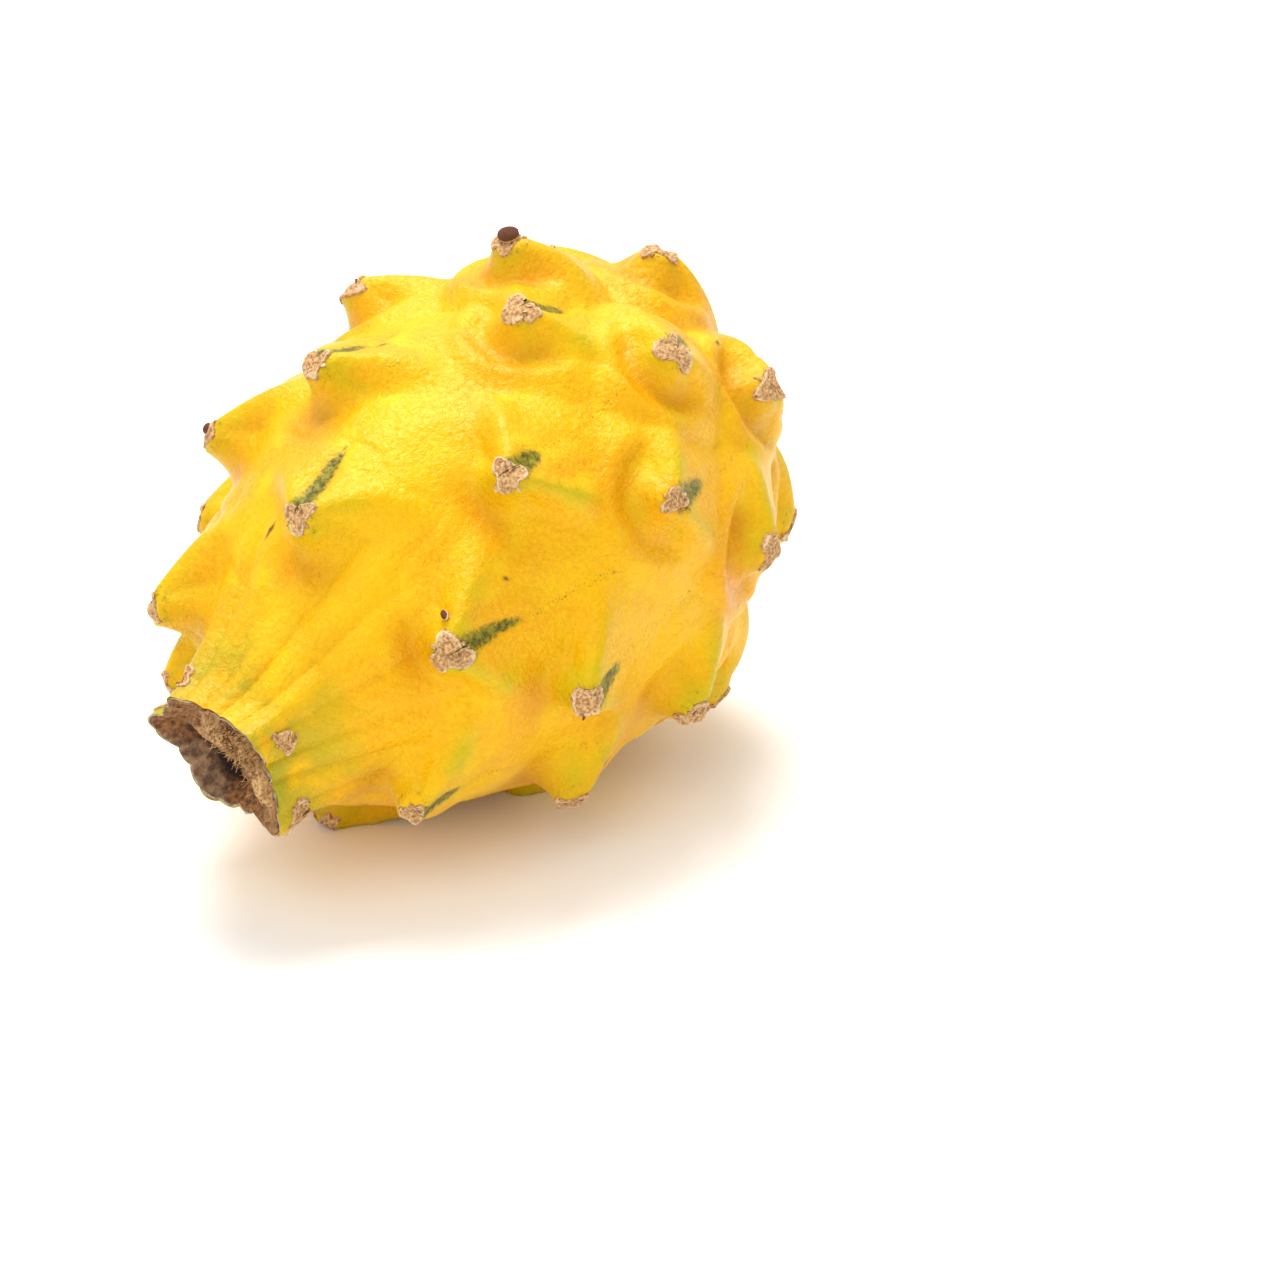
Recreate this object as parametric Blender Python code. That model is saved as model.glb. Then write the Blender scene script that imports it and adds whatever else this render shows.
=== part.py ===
"""A yellow dragon fruit lying on its side.

The fruit is one grown body: a turned egg with a narrow neck, covered in blunt scales that lean towards
the flower end. The flower end is at -X and holds the hollow scar where the dried flower sat. The stem
end is at +X and a little higher. The fruit rests on the scales under its belly, pressed flat at z = 0.
"""
import bmesh
import bpy
import math
from mathutils import Matrix, Vector

MM = 0.001

# Driving dimensions, in metres
LENGTH = 109 * MM           # from the scar rim to the stem end, along the fruit's own axis
BELLY_RADIUS = 35.5 * MM    # the body without its scales, at its widest
BELLY_HEIGHT = 37.0 * MM    # height of the fruit's middle above the surface that it rests on
AXIS_PITCH = math.radians(10)
NECK_BEND = Vector((0.7, -2.0, -1.5)) * MM      # how far the neck's end is bent off the axis
STEM_BEND = 2.5 * MM        # how far the stem end is bent up off the axis
SCAR_RADIUS = 8.4 * MM      # the mouth of the flower scar
SCAR_DEPTH = 9 * MM
STEM_SCAR_DEPTH = 0.8 * MM

# Mesh fineness
RINGS = 46
SEGMENTS = 68

# Outline of the body: (share of the length, share of the belly radius), flower end first
OUTLINE = (
    (0.00, 0.27), (0.03, 0.29), (0.08, 0.37), (0.16, 0.55), (0.26, 0.76), (0.38, 0.92), (0.50, 0.99),
    (0.62, 0.99), (0.74, 0.90), (0.84, 0.75), (0.92, 0.54), (0.97, 0.35), (1.00, 0.09),
)

# Scales: (share of the length, degrees round the axis from the top towards -Y, height in mm)
BODY_SCALES = (
    (0.16, 298, 6.0), (0.23, 7, 4.6), (0.245, 67, 4.8), (0.185, 121, 5.0), (0.15, 222, 5.0), (0.14, 262, 4.8),
    (0.355, 311, 5.0), (0.41, 346, 5.2), (0.41, 41, 5.2), (0.38, 94, 5.5), (0.40, 130, 4.8), (0.275, 192, 7.4),
    (0.38, 236, 5.5), (0.39, 276, 5.5),
    (0.60, 325, 5.8), (0.595, 14, 5.2), (0.575, 65, 5.2), (0.56, 115, 5.5), (0.48, 167, 5.0), (0.56, 198, 6.4),
    (0.57, 254, 5.5), (0.57, 289, 5.5),
    (0.695, 357, 7.2), (0.70, 41, 5.8), (0.72, 92, 5.0), (0.70, 140, 6.0), (0.70, 178, 8.4), (0.73, 228, 6.0),
    (0.72, 272, 6.0), (0.76, 308, 4.6),
    (0.88, 12, 6.2), (0.84, 63, 6.2), (0.88, 118, 5.5), (0.87, 170, 6.0), (0.88, 220, 6.0), (0.87, 268, 6.0),
    (0.88, 322, 5.5),
)
# Corners of the scar's rim: (degrees round the axis, height in mm)
RIM_CORNERS = ((325, 2.2), (284, 3.2), (52, 2.6), (133, 3.6), (215, 1.4))
RIM_CORNER_WIDTH = 20       # degrees from a corner's tip to its foot
RIM_COLLAR = 0.16           # share of the length that the corners run back over

# Shape of one scale, as seen from its tip; reach is how far its foot runs in each direction
TIP_RADIUS = 2.2 * MM
REACH_TO_STEM = 21 * MM
REACH_TO_SIDE = 13 * MM
REACH_TO_FLOWER = 9 * MM
LOBE_REACH = 15 * MM        # near the stem the scales swell into round lobes
LEAN = 0.45                 # how far a tip leans towards the flower end, as a share of its height
UNION_POWER = 4             # how sharply neighbouring scales meet

# Pleats that run up the neck from the scar
PLEATS = 23
PLEAT_HEIGHT = 0.5 * MM
PLEAT_END = 0.42

AXIS = Vector((math.cos(AXIS_PITCH), 0, math.sin(AXIS_PITCH)))
UP = Vector((-math.sin(AXIS_PITCH), 0, math.cos(AXIS_PITCH)))
SIDE = Vector((0, -1, 0))


def smooth_step(low, high, value):
    """0 below low, 1 above high, and a smooth rise between."""
    share = min(max((value - low) / (high - low), 0), 1)
    return share * share * (3 - 2 * share)


def body_radius(share):
    """Radius of the turned body at a share of its length, on a smooth curve through OUTLINE."""
    points = OUTLINE
    share = min(max(share, 0), 1)
    index = max(i for i in range(len(points) - 1) if points[i][0] <= share)
    before, low, high, after = (points[min(max(index + k, 0), len(points) - 1)] for k in (-1, 0, 1, 2))
    width = high[0] - low[0]
    part = (share - low[0]) / width
    slope_low = (high[1] - before[1]) / (high[0] - before[0]) * width
    slope_high = (after[1] - low[1]) / (after[0] - low[0]) * width
    cube, square = part ** 3, part ** 2
    value = (low[1] * (2 * cube - 3 * square + 1) + high[1] * (3 * square - 2 * cube)
             + slope_low * (cube - 2 * square + part) + slope_high * (cube - square))
    return value * BELLY_RADIUS


def body_point(share, angle):
    """A point of the turned body, with the axis through the frame's origin."""
    outwards = UP * math.cos(angle) + SIDE * math.sin(angle)
    return AXIS * ((share - 0.5) * LENGTH) + outwards * body_radius(share)


def body_frame(share, angle):
    """The outward normal and the direction towards the stem along the skin."""
    step = 0.005
    low, high = max(share - step, 0), min(share + step, 1)
    slope = (body_radius(high) - body_radius(low)) / ((high - low) * LENGTH)
    outwards = UP * math.cos(angle) + SIDE * math.sin(angle)
    return (outwards - AXIS * slope).normalized(), (AXIS + outwards * slope).normalized()


def scale_reach(heading):
    """How far the foot of a scale runs from its tip; heading is 0 towards the stem."""
    towards_stem = max(math.cos(heading), 0) ** 2
    towards_flower = max(-math.cos(heading), 0) ** 2
    sideways = math.sin(heading) ** 2
    return REACH_TO_STEM * towards_stem + REACH_TO_SIDE * sideways + REACH_TO_FLOWER * towards_flower


def scale_height(point, scale):
    """Height that one scale adds at a point of the body."""
    share, degrees, height = scale
    angle = math.radians(degrees)
    normal, to_stem = body_frame(share, angle)
    offset = point - body_point(share, angle)
    if offset.length > 2 * REACH_TO_STEM:
        return 0
    along = offset.dot(to_stem)
    across = offset.dot(to_stem.cross(normal))
    distance = math.hypot(along, across)
    reach = scale_reach(math.atan2(across, along))
    near = min(max((distance - TIP_RADIUS) / (reach - TIP_RADIUS), 0), 1)
    pointed = (1 - near) ** 1.5
    wide = min(math.hypot(along - 3 * MM, across) / LOBE_REACH, 1)
    lobed = (1 - wide ** 2) ** 0.9
    roundness = 0.75 * smooth_step(0.45, 0.75, share)
    return height * MM * (pointed * (1 - roundness) + lobed * roundness)


def rim_swell(share, angle):
    """Height that the corners of the scar's rim add near the flower end."""
    swell = 0
    for degrees, height in RIM_CORNERS:
        off = (math.degrees(angle) - degrees + 180) % 360 - 180
        swell += height * MM * math.exp(-(off / RIM_CORNER_WIDTH) ** 2)
    return swell * smooth_step(RIM_COLLAR, 0, share)


def bent(point, share):
    """Move a point off the straight axis, as the neck and the stem end are."""
    return point + NECK_BEND * smooth_step(0.35, 0, share) + UP * (STEM_BEND * smooth_step(0.6, 1, share))


def skin_point(share, angle):
    """A point of the finished skin: the body, its scales, its rim's corners and the pleats of its neck."""
    point = body_point(share, angle)
    normal, to_stem = body_frame(share, angle)
    heights = [scale_height(point, scale) for scale in BODY_SCALES]
    swell = sum(height ** UNION_POWER for height in heights) ** (1 / UNION_POWER)
    wander = 0.5 * math.sin(9 * share + 2 * angle)
    fade = smooth_step(PLEAT_END, 0.05, share)
    pleat = PLEAT_HEIGHT * fade * math.cos(PLEATS * angle + wander)
    lean = LEAN * swell * smooth_step(1.0, 0.8, share)
    return bent(point + normal * (swell + pleat + rim_swell(share, angle)) - to_stem * lean, share)


def spun_body():
    """The turned blank: the outline with the hollow flower scar at one end, spun round the axis."""
    bm = bmesh.new()
    shares = [0.5 - 0.5 * math.cos(math.pi * (0.06 + 0.94 * i / (RINGS - 1))) for i in range(RINGS)]
    first = shares[0]
    shares = [(share - first) / (1 - first) for share in shares]
    outline = [(SCAR_DEPTH, 0), (SCAR_DEPTH * 0.95, SCAR_RADIUS * 0.5), (SCAR_DEPTH * 0.5, SCAR_RADIUS * 0.85)]
    outline += [(0.2 * MM, SCAR_RADIUS)]
    outline += [(share * LENGTH, body_radius(share)) for share in shares]
    outline += [(LENGTH - STEM_SCAR_DEPTH, 0)]
    verts = [bm.verts.new(Vector((along, 0, radius))) for along, radius in outline]
    edges = [bm.edges.new(pair) for pair in zip(verts, verts[1:])]
    bmesh.ops.spin(bm, geom=verts + edges, cent=(0, 0, 0), axis=(1, 0, 0), angle=2 * math.pi,
                   steps=SEGMENTS, use_merge=True)
    bmesh.ops.remove_doubles(bm, verts=bm.verts, dist=0.01 * MM)
    return bm


def grow_scales(bm):
    """Move each vertex of the blank to the finished skin; the scar's hollow keeps its turned shape."""
    for vert in bm.verts:
        along, radius = vert.co.x, math.hypot(vert.co.y, vert.co.z)
        share = along / LENGTH
        angle = math.atan2(-vert.co.y, vert.co.z)
        outwards = UP * math.cos(angle) + SIDE * math.sin(angle)
        turned = AXIS * ((share - 0.5) * LENGTH) + outwards * radius
        if radius > body_radius(share) - 0.01 * MM:
            vert.co = skin_point(share, angle)
        else:
            vert.co = bent(turned, share)


def press_flat(bm):
    """Lift the fruit to its height and cut the undersides of its lowest scales flat at z = 0."""
    bmesh.ops.translate(bm, verts=bm.verts, vec=(0, 0, BELLY_HEIGHT))
    bmesh.ops.bisect_plane(bm, geom=bm.verts[:] + bm.edges[:] + bm.faces[:], plane_co=(0, 0, 0),
                           plane_no=(0, 0, -1), clear_outer=True, dist=0.01 * MM)
    bmesh.ops.holes_fill(bm, edges=[edge for edge in bm.edges if edge.is_boundary], sides=0)


def centre_on_origin(bm):
    """Put the middle of the fruit's outer box over the origin."""
    lowest = Vector(min(vert.co[k] for vert in bm.verts) for k in range(3))
    highest = Vector(max(vert.co[k] for vert in bm.verts) for k in range(3))
    middle = (lowest + highest) / 2
    bmesh.ops.translate(bm, verts=bm.verts, vec=(-middle.x, -middle.y, -lowest.z))


def skin_material():
    material = bpy.data.materials.new("yellow_skin")
    material.use_nodes = True
    shader = material.node_tree.nodes["Principled BSDF"]
    shader.inputs["Base Color"].default_value = (0.87, 0.50, 0.03, 1)
    shader.inputs["Roughness"].default_value = 0.4
    shader.inputs["Metallic"].default_value = 0
    return material


def build():
    for old in list(bpy.data.objects):
        bpy.data.objects.remove(old, do_unlink=True)
    bm = spun_body()
    grow_scales(bm)
    press_flat(bm)
    centre_on_origin(bm)
    bmesh.ops.recalc_face_normals(bm, faces=bm.faces)
    mesh = bpy.data.meshes.new("dragon_fruit")
    bm.to_mesh(mesh)
    bm.free()
    mesh.shade_smooth()
    fruit = bpy.data.objects.new("dragon_fruit", mesh)
    fruit.data.materials.append(skin_material())
    bpy.context.scene.collection.objects.link(fruit)


build()
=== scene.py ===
# %% [markdown]
# # A whole yellow dragon fruit
#
# The fruit is a swollen piece of cactus stem with the dead flower's scar at one end. Blunt scales
# stand out of its skin, each with a dried tip where a tuft of spines fell off. This lesson turns a
# plain blank, grows the scales on it with one height rule, and then adds the dried parts as pieces.
#
# The imported model comes first. It holds the fruit's real size and place, and its box is printed
# below.

# %% Load the frame
import math
import random

import bmesh
import bpy
import numpy as np
from mathutils import Matrix, Vector


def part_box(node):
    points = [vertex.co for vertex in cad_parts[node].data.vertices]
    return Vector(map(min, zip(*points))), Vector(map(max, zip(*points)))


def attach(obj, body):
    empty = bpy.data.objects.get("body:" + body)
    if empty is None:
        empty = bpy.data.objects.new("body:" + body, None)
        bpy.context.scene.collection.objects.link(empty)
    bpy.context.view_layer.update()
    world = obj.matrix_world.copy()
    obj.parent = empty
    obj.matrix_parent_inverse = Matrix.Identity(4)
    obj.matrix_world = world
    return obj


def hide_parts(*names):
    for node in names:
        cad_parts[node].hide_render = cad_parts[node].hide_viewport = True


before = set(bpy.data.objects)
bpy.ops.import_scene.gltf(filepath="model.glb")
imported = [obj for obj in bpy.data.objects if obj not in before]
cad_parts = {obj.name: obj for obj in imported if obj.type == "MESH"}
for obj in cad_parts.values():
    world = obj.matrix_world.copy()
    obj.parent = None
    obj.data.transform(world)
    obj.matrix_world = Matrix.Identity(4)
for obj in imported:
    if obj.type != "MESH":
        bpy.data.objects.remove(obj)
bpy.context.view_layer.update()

MM = 0.001
box_low, box_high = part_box("dragon_fruit")
print("CAD box in mm:", [round(v / MM, 1) for v in (*box_low, *box_high)])

# %% [markdown]
# ## The body's outline
#
# Without its scales the fruit is an egg with a neck, so its outline is one curve and the body is a
# turned shape. The outline has few points, because a smooth curve through them gives the rest. The
# fruit lies on its side with the flower end at -X, and its own axis rises a little towards the stem.

# %% Outline and axis
LENGTH = 109 * MM
BELLY_RADIUS = 35.5 * MM
AXIS_PITCH = math.radians(10)
BODY_MIDDLE = Vector((0.7, -0.7, 36.9)) * MM
OUTLINE = (
    (0.00, 0.27), (0.03, 0.29), (0.08, 0.37), (0.16, 0.55), (0.26, 0.76), (0.38, 0.92), (0.50, 0.99),
    (0.62, 0.99), (0.74, 0.90), (0.84, 0.75), (0.92, 0.54), (0.97, 0.35), (1.00, 0.09),
)
STATIONS, SIZES = np.array(OUTLINE).T
SLOPES = np.gradient(SIZES, STATIONS)
AXIS = np.array((math.cos(AXIS_PITCH), 0, math.sin(AXIS_PITCH)))
UP = np.array((-math.sin(AXIS_PITCH), 0, math.cos(AXIS_PITCH)))
SIDE = np.array((0, -1, 0))


def smooth_step(low, high, value):
    """0 at low and 1 at high, with a smooth change between; low may be the larger of the two."""
    part = np.clip((value - low) / (high - low), 0, 1)
    return part * part * (3 - 2 * part)


def body_radius(share):
    """Radius of the bare body at a share of its length, on a smooth curve through OUTLINE."""
    share = np.clip(share, 0, 1)
    index = np.clip(np.searchsorted(STATIONS, share, side="right") - 1, 0, len(STATIONS) - 2)
    width = STATIONS[index + 1] - STATIONS[index]
    part = (share - STATIONS[index]) / width
    cube, square = part ** 3, part ** 2
    value = SIZES[index] * (2 * cube - 3 * square + 1) + SIZES[index + 1] * (3 * square - 2 * cube)
    value += SLOPES[index] * width * (cube - 2 * square + part)
    value += SLOPES[index + 1] * width * (cube - square)
    return value * BELLY_RADIUS


ARC_SHARES = np.linspace(0, 1, 801)
ARC_STEPS = np.hypot(np.diff(ARC_SHARES) * LENGTH, np.diff(body_radius(ARC_SHARES)))
ARC_LENGTHS = np.concatenate([[0], np.cumsum(ARC_STEPS)])


def arc_length(share):
    """Distance along the skin from the flower end."""
    return np.interp(share, ARC_SHARES, ARC_LENGTHS)


print("length along the skin in mm:", round(ARC_LENGTHS[-1] / MM, 1))

# %% [markdown]
# ## Where the scales stand
#
# Each scale has a place along the body, an angle round it and a height. The rows are staggered, as
# on the plant, where every scale grew in the gap between two others. A few of those under the belly
# are taller: the fruit rests on them. Small random turns and sizes keep them from looking stamped.

# %% Scales
# (share of the length, degrees round the axis from the top, height in mm)
BODY_SCALES = (
    (0.16, 298, 6.0), (0.23, 7, 4.6), (0.245, 67, 4.8), (0.185, 121, 5.0), (0.15, 222, 5.0), (0.14, 262, 4.8),
    (0.355, 311, 5.0), (0.41, 346, 5.2), (0.41, 41, 5.2), (0.38, 94, 5.5), (0.40, 130, 4.8), (0.275, 192, 6.4),
    (0.38, 236, 5.5), (0.39, 276, 5.5),
    (0.60, 325, 5.8), (0.595, 14, 5.2), (0.575, 65, 5.2), (0.56, 115, 5.5), (0.48, 167, 4.4), (0.56, 198, 5.8),
    (0.57, 254, 5.5), (0.57, 289, 5.5),
    (0.695, 357, 7.2), (0.70, 41, 5.8), (0.72, 92, 5.0), (0.70, 140, 6.0), (0.70, 178, 7.8), (0.73, 228, 6.0),
    (0.72, 272, 6.0), (0.76, 308, 4.6),
    (0.88, 12, 6.2), (0.84, 63, 6.2), (0.88, 118, 5.5), (0.87, 170, 6.0), (0.88, 220, 6.0), (0.87, 268, 6.0),
    (0.88, 322, 5.5),
)
# Small healed scratches: (share of the length, degrees, length in mm)
MARKS = ((0.20, 348, 1.3), (0.83, 45, 0.7), (0.47, 352, 0.6), (0.33, 60, 0.5), (0.62, 225, 0.9))
# Corners of the scar's rim: (degrees round the axis, height in mm)
RIM_CORNERS = ((325, 2.2), (284, 3.2), (52, 2.6), (133, 3.6), (215, 1.4))


class Scale:
    """One scale, in metres and radians, with its own turn, width and length of green streak."""

    def __init__(self, share, degrees, height, luck):
        self.share, self.angle, self.height = share, math.radians(degrees), height * MM
        self.turn = math.radians(luck.uniform(-9, 9))
        self.size = luck.uniform(0.92, 1.08)
        self.streak = luck.uniform(7, 13) * MM
        self.roundness = float(smooth_step(0.42, 0.72, share))


luck = random.Random(5)
scales = [Scale(*row, luck) for row in BODY_SCALES]
print(len(scales), "scales on the body and", len(RIM_CORNERS), "on the rim")

# %% [markdown]
# ## The shape of one scale
#
# A scale is like a blunt shingle that leans towards the flower. On the stem side it rises slowly. Two
# raised arms run back from its tip, and past them the skin drops steeply into a hollow. Near the stem
# the fruit is fatter and each scale sits on a round lobe. All of this is one rule of distance and
# heading from the tip, which is easier to keep even than sculpting forty scales by hand. The rule
# also gives masks, such as where the skin is green, and the material reads them later.

# %% One scale's heights and masks
TIP_RADIUS = 2.1 * MM
BACK_REACH = 18 * MM
FRONT_REACH = 7 * MM
ARM_HEADING = math.radians(54)
LOBE_RADIUS = 14.5 * MM
# The hollow mask carries painted shade: the material tints the hollows it marks orange.
MASKS = ("green", "pale", "painted_hollow_shade", "furrow")


def bump(value, low, high, edge):
    """1 between low and high, falling smoothly to 0 within edge on either side."""
    return smooth_step(low - edge, low, value) * smooth_step(high + edge, high, value)


def bell(value, width):
    return np.exp(-(value / width) ** 2)


def scale_shape(scale, along, across):
    """Height, lean and masks of one scale at distances along and across the skin from its tip."""
    cos_turn, sin_turn = math.cos(scale.turn), math.sin(scale.turn)
    along, across = along * cos_turn - across * sin_turn, along * sin_turn + across * cos_turn
    along, across = along / scale.size, across / scale.size
    distance = np.hypot(along, across)
    heading = np.arctan2(np.abs(across), along)
    front = smooth_step(math.radians(52), math.radians(100), heading)
    reach = BACK_REACH + (FRONT_REACH - BACK_REACH) * front
    near = np.clip((distance - TIP_RADIUS) / (reach - TIP_RADIUS), 0, 1)
    pointed = (1 - near) ** 1.9

    off_arm = distance * np.sin(np.minimum(np.abs(heading - ARM_HEADING), math.pi / 2))
    arm = bell(off_arm, 1.5 * MM + 0.07 * distance) * bump(distance, 2.5 * MM, 8 * MM, 7 * MM)
    gutter = bell(across, 1.5 * MM) * bump(along, 4 * MM, 9 * MM, 3 * MM)
    under = bell(along + 7 * MM, 3.2 * MM) * bell(across, 6 * MM)

    wide = np.hypot(along - 1.5 * MM, across) / LOBE_RADIUS
    lobe = np.clip(1 - wide ** 2, 0, 1) ** 0.8
    fold = bell(distance - 9.5 * MM, 1.6 * MM) * smooth_step(math.radians(60), math.radians(100), heading)
    cup = bell(distance - 5.6 * MM, 2 * MM) * smooth_step(math.radians(75), math.radians(120), heading)

    sharp = scale.height * pointed + 1.15 * MM * arm - 0.55 * MM * gutter
    round_part = 0.62 * scale.height * lobe + 0.45 * scale.height * pointed
    round_part += (0.9 * fold - 1.3 * cup + 0.8 * arm - 0.5 * gutter) * MM
    height = sharp * (1 - scale.roundness) + round_part * scale.roundness
    lean = scale.height * pointed ** 1.3 * (0.5 - 0.2 * scale.roundness)

    streak_width = np.maximum(2.5 * MM - 0.17 * along, 0.4 * MM)
    masks = {
        "green": np.maximum(bell(across, streak_width) * bump(along, 1.5 * MM, scale.streak * 0.6, scale.streak * 0.5),
                            0.5 * bell(distance - 2.5 * MM, 0.7 * MM)),
        "pale": np.maximum(0.8 * arm, bell(distance, 4.6 * MM)),
        # Painted shade: the hollow under the tip and the cups round it, which the material tints orange.
        "painted_hollow_shade": np.maximum(under, scale.roundness * cup),
        "furrow": bell(across, 0.5 * MM) * bump(along, 6 * MM, 24 * MM, 8 * MM) * (1 - scale.roundness),
    }
    return height, lean, under * (1 - scale.roundness), masks


# %% [markdown]
# ## The whole skin as one rule
#
# The next function gives a point of the finished skin for any place along and round the body. The
# scales are joined by adding a high power of their heights and taking the root: that follows the
# tallest scale, and leaves a soft valley where two meet. Pleats run up the neck, and slow noise keeps
# the body from being a perfect egg. Because it is a rule and not a mesh, the dried tips can ask it
# later where the skin is under each of their own points.

# %% Skin rule
UNION_POWER = 5
PLEATS = 18
PLEAT_HEIGHT = 1.2 * MM
RIM_SLANT = 1.2 * MM
NECK_BEND = np.array((0.7, -2.0, -1.5)) * MM
STEM_BEND = 2.5 * MM


NOISE_CELLS = 24
NOISE_TABLE = np.random.default_rng(11).uniform(-1, 1, (NOISE_CELLS,) * 3)


def slow_noise(points, size, seed):
    """Smooth noise from -1 to 1 at each point, with features of the given size."""
    place = points / size + np.array((7.3, 3.1, 5.7)) * seed
    cell = np.floor(place).astype(int)
    part = place - cell
    part = part * part * (3 - 2 * part)
    value = np.zeros(len(points))
    for corner in np.ndindex(2, 2, 2):
        x, y, z = ((cell + corner) % NOISE_CELLS).T
        value += np.prod(np.where(corner, part, 1 - part), axis=1) * NOISE_TABLE[x, y, z]
    return value


def wrapped(angle):
    return (angle + math.pi) % (2 * math.pi) - math.pi


def body_frame(share, angle):
    """Point, outward normal and direction towards the stem of the bare body."""
    step = 0.004
    low, high = np.clip(share - step, 0, 1), np.clip(share + step, 0, 1)
    slope = ((body_radius(high) - body_radius(low)) / ((high - low) * LENGTH))[:, None]
    outwards = np.cos(angle)[:, None] * UP + np.sin(angle)[:, None] * SIDE
    point = ((share - 0.5) * LENGTH)[:, None] * AXIS + outwards * body_radius(share)[:, None]
    size = np.sqrt(1 + slope ** 2)
    return point, (outwards - AXIS * slope) / size, (AXIS + outwards * slope) / size


def rim_shape(angle):
    """How far the corners of the scar's rim stand out at an angle round the axis."""
    swell = np.zeros_like(angle)
    for degrees, height in RIM_CORNERS:
        off = wrapped(angle - math.radians(degrees)) * 11 * MM
        swell += height * MM * bell(off, 3.6 * MM)
    return swell


def skin(share, angle):
    """Points of the finished skin and their masks, for arrays of places along and round the body."""
    point, normal, to_stem = body_frame(share, angle)
    warp = [1.3 * MM * slow_noise(point, 13 * MM, seed) for seed in (1, 2)]
    total = np.zeros_like(share)
    lean = np.zeros_like(share)
    under = np.zeros_like(share)
    masks = {name: np.zeros_like(share) for name in MASKS}
    for scale in scales:
        along = arc_length(share) - arc_length(scale.share)
        girth = (body_radius(share) + body_radius(scale.share)) / 2
        across = wrapped(angle - scale.angle) * girth
        close = np.hypot(along, across) < 36 * MM
        calm = smooth_step(4 * MM, 16 * MM, np.hypot(along[close], across[close]))
        shape = scale_shape(scale, along[close] + warp[0][close] * calm, across[close] + warp[1][close] * calm)
        total[close] += np.maximum(shape[0], 0) ** UNION_POWER
        lean[close] = np.maximum(lean[close], shape[1])
        under[close] = np.maximum(under[close], shape[2])
        for name, mask in shape[3].items():
            masks[name][close] = np.maximum(masks[name][close], mask)
    swell = total ** (1 / UNION_POWER) - 0.8 * MM * under

    neck = smooth_step(0.45, 0.04, share)
    wander = 0.5 * slow_noise(point, 16 * MM, 3)
    pleat = np.abs(np.sin((PLEATS * angle) / 2 + 2.2 * wander)) ** 0.7
    depth = 0.75 + 0.5 * slow_noise(point, 9 * MM, 4)
    swell += PLEAT_HEIGHT * neck * depth * (pleat - 0.5)
    swell += 0.55 * MM * slow_noise(point, 15 * MM, 5) + 0.26 * MM * slow_noise(point, 5 * MM, 6)
    crease = 1 - np.abs(slow_noise(point + 9 * MM * np.stack(warp, 1)[:, [0, 1, 0]] / MM / 4, 11 * MM, 12))
    swell -= 0.5 * MM * crease ** 6

    collar = smooth_step(0.16, 0.0, share)
    corner = rim_shape(angle) * collar
    slant = RIM_SLANT * np.cos(angle) * smooth_step(0.25, 0.0, share)
    point = point + normal * (swell + corner)[:, None]
    point = point - to_stem * (lean + corner * 0.35 * collar)[:, None] - AXIS * slant[:, None]
    point = point + NECK_BEND * smooth_step(0.35, 0.0, share)[:, None]
    point = point + UP * STEM_BEND * smooth_step(0.60, 1.0, share)[:, None]
    masks["neck"] = smooth_step(0.17, 0.01, share)
    masks["mark"] = np.zeros_like(share)
    for mark_share, degrees, length in MARKS:
        along = arc_length(share) - arc_length(mark_share)
        across = wrapped(angle - math.radians(degrees)) * body_radius(share)
        spot = np.hypot(along / (length * MM), (across - 0.3 * along) / (0.35 * MM))
        masks["mark"] = np.maximum(masks["mark"], smooth_step(1.3, 0.6, spot))
    return point + np.array(BODY_MIDDLE), masks


print("skin rule ready")

# %% [markdown]
# ## The blank and its skin
#
# The blank is spun: a chain of vertices is drawn down the outline, the hollow scar at the flower end
# included, and bmesh turns it round the axis. Close rings are worth their cost, because the scales
# are made by moving these vertices. Then each vertex goes where the skin rule says.

# %% Blank and skin piece
RINGS = 286
TURNS = 320
# The hollow scar, from its floor to the rim: (depth below the rim, radius) in mm
HOLLOW = ((9, 0), (9, 2.5), (8.7, 5), (7.6, 6.9), (5.8, 7.7), (4, 8.1), (2.4, 8.4), (1.2, 8.7), (0.4, 9.1),
          (-0.1, 9.7), (-0.1, 10.2))


def spun_blank():
    """The turned blank along +X, with its outer rings evenly spaced along the skin."""
    bm = bmesh.new()
    shares = np.interp(np.linspace(0, ARC_LENGTHS[-1], RINGS), ARC_LENGTHS, ARC_SHARES)
    outline = [(depth * MM, radius * MM) for depth, radius in HOLLOW]
    outline += [(share * LENGTH, float(body_radius(share))) for share in shares]
    outline += [(LENGTH - 0.4 * MM, 1.6 * MM), (LENGTH - 0.6 * MM, 0)]
    verts = [bm.verts.new((along, 0, radius)) for along, radius in outline]
    edges = [bm.edges.new(pair) for pair in zip(verts, verts[1:])]
    bmesh.ops.spin(bm, geom=verts + edges, cent=(0, 0, 0), axis=(1, 0, 0), angle=2 * math.pi,
                   steps=TURNS, use_merge=True)
    bmesh.ops.remove_doubles(bm, verts=bm.verts, dist=0.005 * MM)
    bmesh.ops.recalc_face_normals(bm, faces=bm.faces)
    return bm


def new_piece(name, bm):
    """Make an object at the origin from a bmesh, shaded smooth."""
    mesh = bpy.data.meshes.new(name)
    bm.to_mesh(mesh)
    bm.free()
    mesh.shade_smooth()
    piece = bpy.data.objects.new(name, mesh)
    bpy.context.scene.collection.objects.link(piece)
    return piece


def read_points(mesh):
    points = np.empty(len(mesh.vertices) * 3)
    mesh.vertices.foreach_get("co", points)
    return points.reshape(-1, 3)


def write_mask(mesh, name, values):
    mesh.attributes.new(name, "FLOAT", "POINT").data.foreach_set("value", values)


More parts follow.
